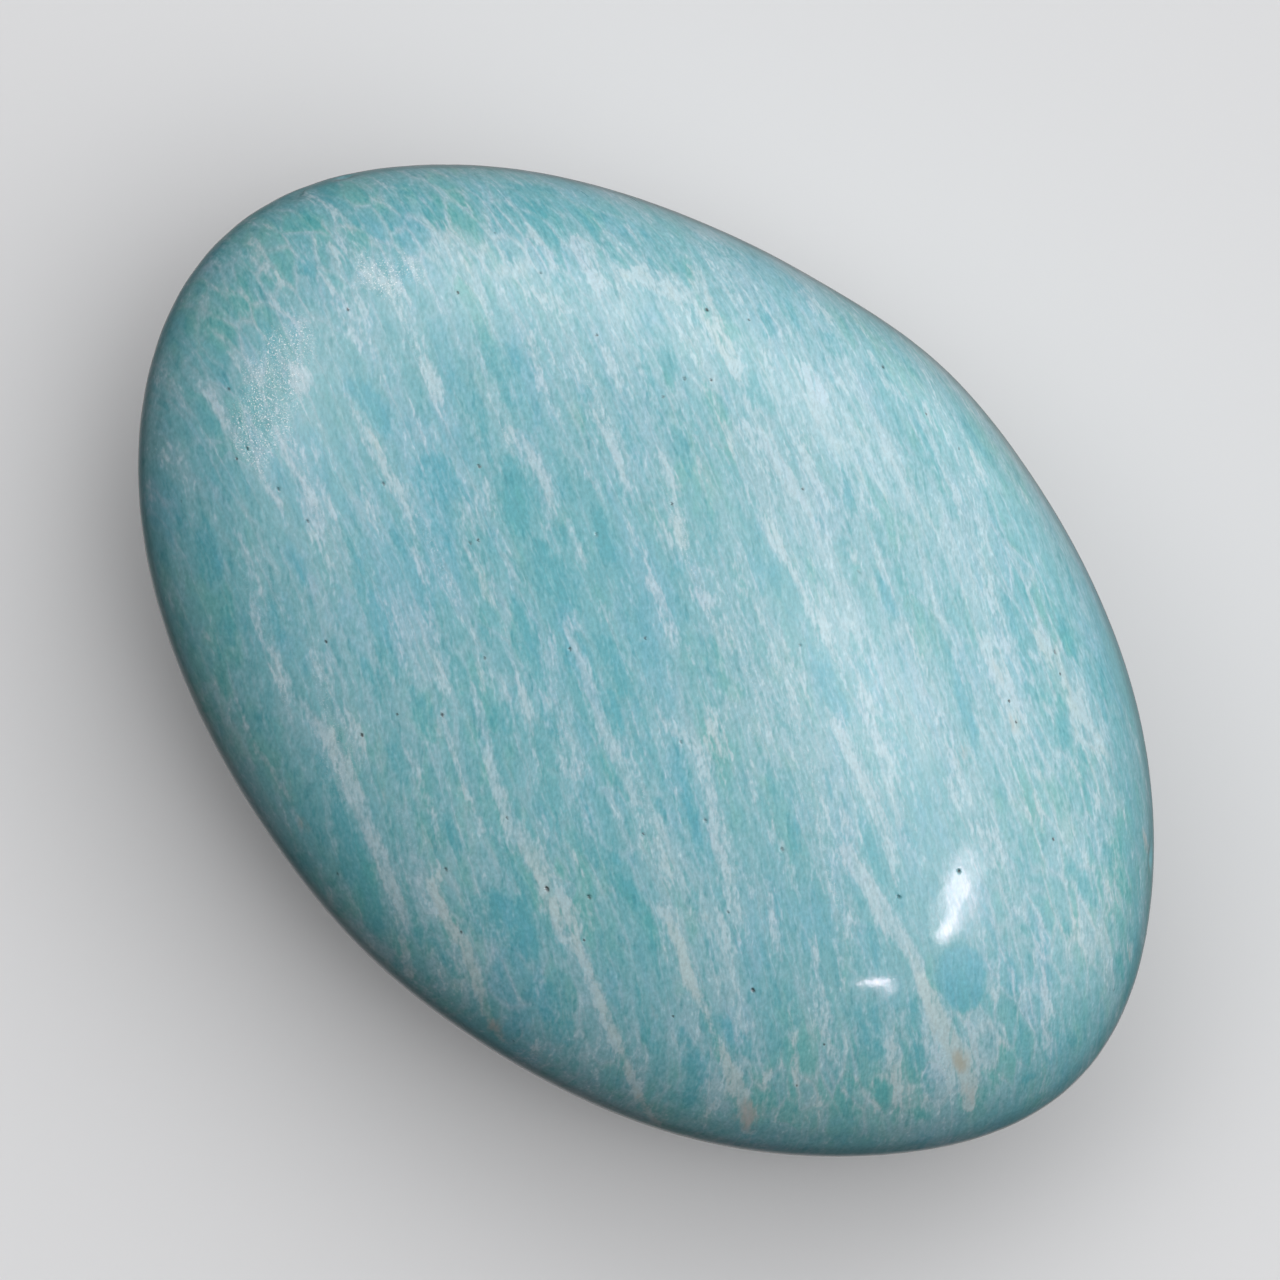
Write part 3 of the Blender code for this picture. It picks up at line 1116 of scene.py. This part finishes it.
class AmazoniteWriter(NodeWriter):
    """Writes the stone's material. Lengths are in millimetres."""

    def __init__(self, tree, colours):
        super().__init__(tree)
        self.colours = colours
        self.position = self.scaled(self.add("ShaderNodeTexCoord").outputs["Object"], 1 / MM)
        bent = self.bent_position()
        self.sheets = self.sheet_coordinates(bent)
        self.steep = self.sheet_coordinates(bent, STEEP_LEAN)
        self.streak = self.layer(self.sheets, STREAK)
        both_fibres = self.plus(
            self.layer(self.sheets, FIBRE), self.layer(self.steep, STEEP_FIBRE)
        )
        self.fibre = self.times(both_fibres, 0.5)
        self.fine = self.layer(self.steep, FINE_FIBRE)
        self.edge_distance, self.cell_tone = self.cells()
        self.netted = self.attribute("net")
        self.dull = self.attribute("dull")

    def bent_position(self):
        """The position with the slow bends and fine ruffles of the sheets."""
        bent = self.position
        for size, reach, detail in BENDS:
            swirl = self.noise(self.scaled(self.position, 1 / size), detail, output="Color")
            shift = self.scaled(self.vector("SUBTRACT", swirl, (0.5, 0.5, 0.5)), reach)
            bent = self.vector("ADD", bent, shift)
        return bent

    def sheet_coordinates(self, bent, lean=0.0):
        """Distance across, along and down sheets that lean by a slope along their
        trace."""
        across, along, down = sheet_directions()
        ways = (across + along * lean, along, down)
        parts = [self.vector("DOT_PRODUCT", bent, tuple(way)) for way in ways]
        return self.add("ShaderNodeCombineXYZ", zip("XYZ", parts)).outputs["Vector"]

    def drawn_out(self, sheets, sizes, start):
        stretched = self.vector("DIVIDE", sheets, sizes)
        return self.vector("ADD", stretched, (start, 0.37 * start, 0.71 * start))

    def layer(self, sheets, kind):
        sizes, start, *texture = kind
        return self.noise(self.drawn_out(sheets, sizes, start), *texture)

    def plain_noise(self, kind):
        size, *texture = kind
        return self.noise(self.scaled(self.position, 1 / size), *texture)

    def cells(self):
        """Long cells: the distance to the nearest edge, and each cell's own tone."""
        place = self.drawn_out(self.sheets, *CELL)
        inputs = {"Vector": place, "Scale": 1.0, "Randomness": 0.95}
        edges = self.add("ShaderNodeTexVoronoi", inputs, feature="DISTANCE_TO_EDGE")
        cells = self.add("ShaderNodeTexVoronoi", inputs, feature="F1")
        tone = self.add("ShaderNodeSeparateColor", {"Color": cells.outputs["Color"]})
        return edges.outputs["Distance"], self.centred(tone.outputs[0])

    def texture(self):
        """Streaks, fibres, and long cells of clear matter between thin pale sheets."""
        net = self.smooth(self.edge_distance, 0.17, 0.0)
        return self.plus(
            self.times(self.smooth(self.streak, 0.44, 0.62), 0.10),
            self.centred(self.streak, 0.3),
            self.centred(self.fibre, 0.7),
            self.centred(self.fine, 0.4),
            self.times(net, self.ramp(self.netted, 0, 1, 0.07, 0.32)),
            self.times(self.cell_tone, self.ramp(self.netted, 0, 1, 0.08, 0.26)),
        )

    def clouding(self):
        """How cloudy the stone is, from 0 where it is clear to 1 in a thick streak. The
        marks' edges are frayed along the fibres, and clear windows hold less texture."""
        frayed = self.plus(
            # The marks, with the painted sheen and highlights among them.
            self.attribute("cloud"),
            self.centred(self.streak, 1.5),
            self.centred(self.fibre, 2.3),
            self.centred(self.fine, 1.0),
        )
        wisp = self.smooth(frayed, 0.10, 1.25)
        window = self.smooth(frayed, -0.10, -1.25)
        wisp_rim = self.times(self.smooth(frayed, 0.10, 0.28), self.smooth(frayed, 0.46, 0.28))
        calm = self.ramp(window, 0.0, 1.0, 1.0, 0.75)
        patch_gain = self.ramp(self.attribute("crown"), 0.0, 1.0, 1.6, 0.4)
        hair_off = self.math("ABSOLUTE", self.minus(self.layer(self.sheets, HAIR), 0.5))
        return self.plus(
            0.34,
            self.centred(self.layer(self.sheets, PATCH), patch_gain),
            self.times(self.texture(), calm),
            self.times(wisp, 0.36),
            self.times(window, -0.36),
            self.times(wisp_rim, -0.07),
            # The haze, with its painted sheen and painted shade.
            self.times(self.attribute("haze"), 0.14),
            self.times(self.smooth(hair_off, 0.045, 0.0), 0.15),
        )

    def stone_colour(self, clouding):
        ramp = self.add("ShaderNodeValToRGB", {"Fac": clouding})
        first, last = ramp.color_ramp.elements
        first.position = 0.0
        first.color = as_rgba(self.colours.deep)
        last.position = 0.92
        last.color = as_rgba(self.colours.white)
        for place, colour in ((0.36, self.colours.middle), (0.64, self.colours.pale)):
            ramp.color_ramp.elements.new(place).color = as_rgba(colour)
        return ramp.outputs["Color"]

    def multiplied(self, share, colour, tint):
        return self.mix(share, colour, self.mix(1.0, colour, tint, "MULTIPLY"))

    def hued(self, colour, clouding):
        """Blue to green in clear matter, and lilac to cream in pale matter."""
        hue = self.plus(
            self.centred(self.plain_noise(HUE_CLOUD), 2.0),
            self.centred(self.layer(self.sheets, HUE_BAND), 3.0),
            self.centred(self.layer(self.steep, HUE_FLECK), 1.6),
            self.times(self.attribute("tint"), 0.9),
            self.times(self.attribute("hue"), 0.8),
            self.times(self.cell_tone, self.ramp(self.netted, 0, 1, -0.3, -0.9)),
        )
        paleness = self.smooth(clouding, 0.35, 0.8)
        for full, tints in ((-1.0, BLUE_TINTS), (1.0, GREEN_TINTS)):
            tint = self.mix(paleness, *tints)
            colour = self.multiplied(self.smooth(hue, 0.0, full), colour, tint)
        return colour

    def shaded(self, colour):
        """Fibres and crumbs differ in brightness more than in colour, and there are thin
        dark dashes between them."""
        shade = self.plus(
            1.0,
            self.centred(self.fibre, 0.24),
            self.centred(self.fine, 0.3),
            self.centred(self.layer(self.steep, CRUMB), 0.4),
        )
        dashes = self.smooth(self.layer(self.steep, DASH), 0.30, 0.20)
        return self.multiplied(self.times(dashes, 0.55), self.scaled(colour, shade), DASH_TINT)

    def stained_and_darkened(self, colour):
        """Iron stain, broken up by the fibres, and the pits darkened."""
        edge = self.plus(self.attribute("stain"), self.centred(self.fibre, 1.6))
        rusty = self.ramp(self.attribute("stain_tint"), -1.0, 1.0)
        stain = self.mix(rusty, as_rgba(PINK_STAIN), as_rgba(RUST_STAIN))
        colour = self.mix(self.times(self.smooth(edge, 0.25, 0.95), 0.7), colour, stain)
        return self.mix(self.attribute("pit"), colour, as_rgba(PIT_DARK_COLOUR))

    def with_painted_glints(self, colour):
        """Painted glints: white specks mixed into the colour where the polish is dull, standing
        for light glinting off tiny cleavage faces.
        """
        # The specks where white is painted in as glints.
        faces = self.smooth(self.plain_noise(PAINTED_GLINT_SPECKS), 0.55, 0.70)
        where = self.plus(self.dull, self.centred(self.streak, 1.6))
        return self.mix(self.times(faces, self.smooth(where, 0.10, 0.9, 0.0, 0.85)), colour, PAINTED_GLINT_WHITE)

    def polish(self, shader):
        """The stone's gloss, the fine grain in it, and the clear skin that polish gives."""
        grain = self.centred(self.plain_noise(GRAIN))
        wave = self.centred(self.plain_noise(WAVE), 0.4)
        for name, gain in (("Normal", 0.2), ("Coat Normal", 4.0)):
            height = self.plus(wave, self.times(grain, self.ramp(self.dull, 0, 1, 0.1, gain)))
            bump = self.add("ShaderNodeBump", {"Height": height, "Distance": 0.012 * MM})
            self.give(shader.inputs[name], bump.outputs["Normal"])
        roughness = self.plus(
            self.colours.polish, self.centred(self.streak, 0.3), self.times(self.dull, 0.12)
        )
        self.give(shader.inputs["Roughness"], roughness)
        shader.inputs["IOR"].default_value = 1.53
        shader.inputs["Specular IOR Level"].default_value = 0.25
        shader.inputs["Coat Weight"].default_value = 1.0
        shader.inputs["Coat Roughness"].default_value = 0.08
        shader.inputs["Coat IOR"].default_value = 1.45


def build_amazonite(colours):
    material = bpy.data.materials.new("amazonite")
    material.use_nodes = True
    write = AmazoniteWriter(material.node_tree, colours)
    shader = material.node_tree.nodes["Principled BSDF"]
    clouding = write.clouding()
    colour = write.hued(write.stone_colour(clouding), clouding)
    colour = write.with_painted_glints(write.stained_and_darkened(write.shaded(colour)))
    write.give(shader.inputs["Base Color"], colour)
    write.polish(shader)
    return material


# Relief

# Pits are drawn out along the streaks: this share of the distance that way doesn't count.
PIT_STRETCH = 0.45

# The relief fades out between these heights above the floor.
RELIEF_STARTS = 0.2 * MM
RELIEF_IS_FULL = 1.5 * MM

# How far the pits are darkened towards that colour.
PIT_DARKENING = 0.9
SMALL_PIT_DARKENING = 0.6
SMALL_PIT_WIDTHS = (0.13 * MM, 0.22 * MM)


def build_relief_tree():
    """Nodes that wave the surface slightly and sink the pits and dents into it."""
    tree = bpy.data.node_groups.new("stone_relief", "GeometryNodeTree")
    for name, kind in (
        ("Surface", "NodeSocketGeometry"),
        ("Pits", "NodeSocketObject"),
        ("Ripple height", "NodeSocketFloat"),
        ("Ripple size", "NodeSocketFloat"),
        ("Seed", "NodeSocketInt"),
        ("Material", "NodeSocketMaterial"),
    ):
        tree.interface.new_socket(name, in_out="INPUT", socket_type=kind)
    tree.interface.new_socket("Surface", in_out="OUTPUT", socket_type="NodeSocketGeometry")
    write = NodeWriter(tree)
    given = write.add("NodeGroupInput").outputs
    position = write.add("GeometryNodeInputPosition").outputs["Position"]
    normal = write.add("GeometryNodeInputNormal").outputs["Normal"]

    # The nearest pit's place, width, depth and darkening.
    pits = write.add("GeometryNodeObjectInfo", {"Object": given["Pits"]}).outputs["Geometry"]
    nearest = write.add(
        "GeometryNodeSampleNearest", {"Geometry": pits}, domain="POINT"
    ).outputs["Index"]

    def sampled(value, kind):
        inputs = {"Geometry": pits, "Value": value, "Index": nearest}
        node = write.add("GeometryNodeSampleIndex", inputs, data_type=kind, domain="POINT")
        return node.outputs["Value"]

    def named(name):
        node = write.add("GeometryNodeInputNamedAttribute", {"Name": name}, data_type="FLOAT")
        return sampled(node.outputs["Attribute"], "FLOAT")

    along = sheet_directions()[1]
    offset = write.vector("SUBTRACT", position, sampled(position, "FLOAT_VECTOR"))
    left_out = write.times(write.vector("DOT_PRODUCT", offset, tuple(along)), PIT_STRETCH)
    drawn_out = write.scaled(tuple(along), left_out)
    distance = write.vector("LENGTH", write.vector("SUBTRACT", offset, drawn_out))
    reach = write.math("DIVIDE", write.times(distance, 2.0), named("width"))
    sink = write.times(write.smooth(reach, 1.0, 0.0), named("depth"))
    grime = write.times(write.smooth(reach, 1.05, 0.55), named("grime"))

    wave = write.add(
        "ShaderNodeTexNoise",
        {
            "Vector": position,
            "W": given["Seed"],
            "Scale": write.math("DIVIDE", 1.0, given["Ripple size"]),
            "Detail": 1.0,
        },
        noise_dimensions="4D",
    ).outputs["Fac"]
    height = write.times(write.centred(wave), given["Ripple height"])
    up = write.add("ShaderNodeSeparateXYZ", {"Vector": position}).outputs["Z"]
    above_foot = write.smooth(up, RELIEF_STARTS, RELIEF_IS_FULL)
    lift = write.times(write.minus(height, sink), above_foot)
    moved = write.add(
        "GeometryNodeSetPosition",
        {"Geometry": given["Surface"], "Offset": write.scaled(normal, lift)},
    ).outputs["Geometry"]
    stored = write.add(
        "GeometryNodeStoreNamedAttribute",
        {"Geometry": moved, "Name": "pit", "Value": grime},
        data_type="FLOAT",
        domain="POINT",
    ).outputs["Geometry"]
    realized = write.add(
        "GeometryNodeRealizeInstances", {"Geometry": stored}
    ).outputs["Geometry"]
    finished = write.add(
        "GeometryNodeSetMaterial", {"Geometry": realized, "Material": given["Material"]}
    ).outputs["Geometry"]
    write.add("NodeGroupOutput", {"Surface": finished})
    return tree


def apply_relief(context, stone, pits, material, shape):
    """Runs the relief nodes on the stone and keeps their result as a plain mesh."""
    tree = build_relief_tree()
    relief = stone.modifiers.new("Relief", "NODES")
    relief.node_group = tree
    values = {
        "Pits": pits,
        "Ripple height": shape.ripple_height,
        "Ripple size": shape.ripple_size,
        "Seed": shape.seed,
        "Material": material,
    }
    for item in tree.interface.items_tree:
        if item.in_out == "INPUT" and item.name in values:
            relief[item.identifier] = values[item.name]
    context.view_layer.update()
    depsgraph = context.evaluated_depsgraph_get()
    mesh = bpy.data.meshes.new_from_object(
        stone.evaluated_get(depsgraph), preserve_all_data_layers=True, depsgraph=depsgraph
    )
    stone.modifiers.remove(relief)
    plain = stone.data
    stone.data = mesh
    bpy.data.meshes.remove(plain)
    mesh.name = stone.name


def pit_object(context, solid, shape):
    """The pits and dents as loose points that carry their width, depth and darkening."""
    rows = []
    for width, px, py in PITS:
        place = place_seen_at(solid.tree, px, py)[0]
        rows.append((place, width * MM, width * MM * shape.pit_depth, PIT_DARKENING))
    for width, depth, px, py in DENTS:
        rows.append((place_seen_at(solid.tree, px, py)[0], width * MM, depth * MM, 0.0))
    chance = random.Random(shape.seed)
    centre = Vector(solid.centre)
    for _ in range(shape.small_pits):
        way = Vector([chance.gauss(0, 1) * size for size in solid.half_size])
        width = chance.uniform(*SMALL_PIT_WIDTHS)
        place = solid.tree.ray_cast(centre, way)[0]
        rows.append((place, width, width * shape.pit_depth, SMALL_PIT_DARKENING))
    places, widths, depths, darkenings = zip(*rows)
    mesh = bpy.data.meshes.new("pits")
    mesh.from_pydata([tuple(place) for place in places], [], [])
    for name, values in (("width", widths), ("depth", depths), ("grime", darkenings)):
        store_values(mesh, name, values)
    pits = bpy.data.objects.new("pits", mesh)
    context.scene.collection.objects.link(pits)
    return pits, [place for place, width, _, grime in rows if grime > 0]


# Operators

# Faces are halved above this height, and once more within each distance of a pit.
FINE_ABOVE = 13.5 * MM
FINE_ROUND_PITS = (0.36 * MM, 0.22 * MM)
RELAX_ROUNDS = 8

# The crown carries the marks, so its own patches are weaker. It begins where the upward
# part of the normals has the first value, and is full from the second on.
CROWN_SLOPES = (0.1, 0.6)


class PALMSTONE_OT_add_stone(Operator):
    """Add the polished stone with its fine surface and its amazonite material"""

    bl_idname = "palm_stone.add_stone"
    bl_label = "Add Stone"

    def execute(self, context):
        shape = context.scene.palm_stone_shape
        solid = RoundedSolid("stone")
        pits, spots = pit_object(context, solid, shape)
        places, faces = box_grid(solid.half_size, shape.spacing)
        places = solid.cast(places + solid.centre)
        places, faces = refined(places, faces, FINE_ABOVE, spots, FINE_ROUND_PITS)
        places = relaxed(solid.cast(places), faces, RELAX_ROUNDS)

        mesh = bpy.data.meshes.new("polished_stone")
        mesh.from_pydata(places.tolist(), [], faces)
        mesh.shade_smooth()
        tree = BVHTree.FromPolygons(places.tolist(), faces)
        for name, values in painted_marks(tree, places).items():
            store_values(mesh, name, values)
        upward = np.array([v.vector.z for v in mesh.vertex_normals])
        store_values(mesh, "crown", np.interp(upward, CROWN_SLOPES, (0, 1)))

        stone = bpy.data.objects.new("polished_stone", mesh)
        context.scene.collection.objects.link(stone)
        material = build_amazonite(context.scene.palm_stone_colour)
        apply_relief(context, stone, pits, material, shape)
        bpy.data.objects.remove(pits)
        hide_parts("stone")
        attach(stone, "root")
        return {"FINISHED"}


# Where the low rim light stands, as turn and tilt.
RIM_LIGHT = (50, 125)

FLOOR_REACH = 0.9
GLINT_LIGHT_DISTANCE = 0.5


def seen_direction(turn, tilt):
    """A direction by its turn from the photograph's right and its tilt from overhead,
    in degrees."""
    turn, tilt = math.radians(turn), math.radians(tilt)
    level = IMAGE_RIGHT * math.cos(turn) + IMAGE_UP * math.sin(turn)
    return level * math.sin(tilt) + Vector((0, 0, math.cos(tilt)))


def build_studio_light(settings):
    """Soft lights all round as one sky, which the camera sees as a plain backdrop."""
    world = bpy.data.worlds.new("studio")
    world.use_nodes = True
    write = NodeWriter(world.node_tree)
    way = write.add("ShaderNodeTexCoord").outputs["Generated"]
    ray = write.add("ShaderNodeLightPath").outputs
    light = settings.ambient
    for turn, tilt, tightness, brightness in SOFT_LIGHTS:
        toward = write.vector("DOT_PRODUCT", way, tuple(seen_direction(turn, tilt)))
        fall = write.math("EXPONENT", write.times(write.minus(toward, 1.0), tightness))
        light = write.plus(light, write.times(fall, brightness * settings.brightness))
    toward_rim = write.vector("DOT_PRODUCT", way, tuple(seen_direction(*RIM_LIGHT)))
    downward = write.vector("DOT_PRODUCT", way, (0.0, 0.0, -1.0))
    rim = write.math(
        "MAXIMUM",
        write.smooth(toward_rim, 0.6, 1.0, 0.0, settings.rim),
        write.smooth(downward, 0.85, 1.0, 0.0, 0.6 * settings.rim),
    )
    light = write.plus(light, write.times(ray["Is Glossy Ray"], rim))
    strength = write.add(
        "ShaderNodeMix",
        {"Factor": ray["Is Camera Ray"], "A": light, "B": settings.backdrop},
    ).outputs["Result"]
    background = world.node_tree.nodes["Background"]
    background.inputs["Color"].default_value = (1, 1, 1, 1)
    write.give(background.inputs["Strength"], strength)
    return world


def area_light(context, name, place, axes, size, power):
    """A light that faces away from the third axis, and that only the polish mirrors."""
    light = bpy.data.lights.new(name, "AREA")
    light.shape = "RECTANGLE"
    light.size, light.size_y = size
    light.energy = power
    light.color = GLINT_COLOUR
    lamp = bpy.data.objects.new(name, light)
    lamp.matrix_world = Matrix.Translation(place) @ Matrix(axes).transposed().to_4x4()
    lamp.visible_camera = False
    lamp.visible_diffuse = False
    context.scene.collection.objects.link(lamp)


def facing_axes(back, upright):
    """Axes for a light whose back looks one way and whose length runs the other."""
    back = back.normalized()
    length = (upright - back * upright.dot(back)).normalized()
    return (length.cross(back), length, back)


def mirrored_light(context, name, tree, ends_px, width, brightness):
    """A strip light placed so that the stone mirrors its two ends at two pixels of the
    photograph."""
    around = ((-10, -10), (10, 10), (10, -10), (-10, 10))
    places = []
    for px, py in ends_px:
        place = place_seen_at(tree, px, py)[0]
        normals = [place_seen_at(tree, px + dx, py + dy)[1] for dx, dy in around]
        normal = sum(normals, Vector()).normalized()
        sight = photo_ray(px, py)[1]
        mirrored = sight - 2 * sight.dot(normal) * normal
        places.append(place + mirrored * GLINT_LIGHT_DISTANCE)
    length = (places[1] - places[0]).length
    middle = (places[0] + places[1]) / 2
    axes = facing_axes(middle - Vector((0, 0, GIRTH_HEIGHT)), places[1] - places[0])
    power = brightness * math.pi * width * length
    area_light(context, name, middle, axes, (width, length), power)


class PALMSTONE_OT_add_stage(Operator):
    """Add the floor, the lights and the camera"""

    bl_idname = "palm_stone.add_stage"
    bl_label = "Add Stage"

    def execute(self, context):
        settings = context.scene.palm_stone_stage
        self.add_floor(context, settings)
        self.add_lights(context, settings)
        self.add_camera(context)
        return {"FINISHED"}

    def add_floor(self, context, settings):
        mesh = bpy.data.meshes.new("floor")
        corners = ((-1, -1), (1, -1), (1, 1), (-1, 1))
        places = [(x * FLOOR_REACH, y * FLOOR_REACH, 0) for x, y in corners]
        mesh.from_pydata(places, [], [(0, 1, 2, 3)])
        floor = bpy.data.objects.new("floor", mesh)
        context.scene.collection.objects.link(floor)
        material = bpy.data.materials.new("pale_floor")
        material.use_nodes = True
        shader = material.node_tree.nodes["Principled BSDF"]
        shader.inputs["Base Color"].default_value = as_rgba(settings.floor_colour)
        shader.inputs["Roughness"].default_value = 0.9
        shader.inputs["Specular IOR Level"].default_value = 0.0
        mesh.materials.append(material)
        floor.visible_glossy = False
        floor.visible_diffuse = False

    def add_lights(self, context, settings):
        context.scene.world = build_studio_light(settings)

        stone = context.scene.objects["polished_stone"]
        surface = BVHTree.FromPolygons(
            [tuple(v.co) for v in stone.data.vertices],
            [tuple(face.vertices) for face in stone.data.polygons],
        )
        for name, ends_px, width, brightness in GLINTS:
            mirrored_light(context, name, surface, ends_px, width, brightness)

    def add_camera(self, context):
        data = bpy.data.cameras.new("camera")
        data.lens = LENS_MM
        data.sensor_width = SENSOR_MM
        data.clip_start = 0.01
        camera = bpy.data.objects.new("camera", data)
        camera.location = CAMERA_PLACE
        camera.rotation_euler = (0, 0, STONE_TURN)
        context.scene.collection.objects.link(camera)
        context.scene.camera = camera
        context.scene.view_settings.view_transform = "Standard"


class PALMSTONE_PT_panel(Panel):
    """Lists the stone's settings and the buttons that build it"""

    bl_idname = "PALMSTONE_PT_panel"
    bl_label = "Palm Stone"
    bl_space_type = "VIEW_3D"
    bl_region_type = "UI"
    bl_category = "Palm Stone"

    def draw(self, context):
        layout = self.layout
        for group in ("palm_stone_shape", "palm_stone_colour", "palm_stone_stage"):
            settings = getattr(context.scene, group)
            box = layout.box()
            for name in settings.__annotations__:
                box.prop(settings, name)
        layout.operator(PALMSTONE_OT_add_stone.bl_idname)
        layout.operator(PALMSTONE_OT_add_stage.bl_idname)


CLASSES = (
    StoneShapeSettings,
    StoneColourSettings,
    StageSettings,
    PALMSTONE_OT_add_stone,
    PALMSTONE_OT_add_stage,
    PALMSTONE_PT_panel,
)


def register():
    for cls in CLASSES:
        bpy.utils.register_class(cls)
    bpy.types.Scene.palm_stone_shape = PointerProperty(type=StoneShapeSettings)
    bpy.types.Scene.palm_stone_colour = PointerProperty(type=StoneColourSettings)
    bpy.types.Scene.palm_stone_stage = PointerProperty(type=StageSettings)


def unregister():
    del bpy.types.Scene.palm_stone_shape
    del bpy.types.Scene.palm_stone_colour
    del bpy.types.Scene.palm_stone_stage
    for cls in reversed(CLASSES):
        bpy.utils.unregister_class(cls)


def main():
    register()
    bpy.ops.palm_stone.add_stone()
    bpy.ops.palm_stone.add_stage()


if __name__ == "__main__":
    main()
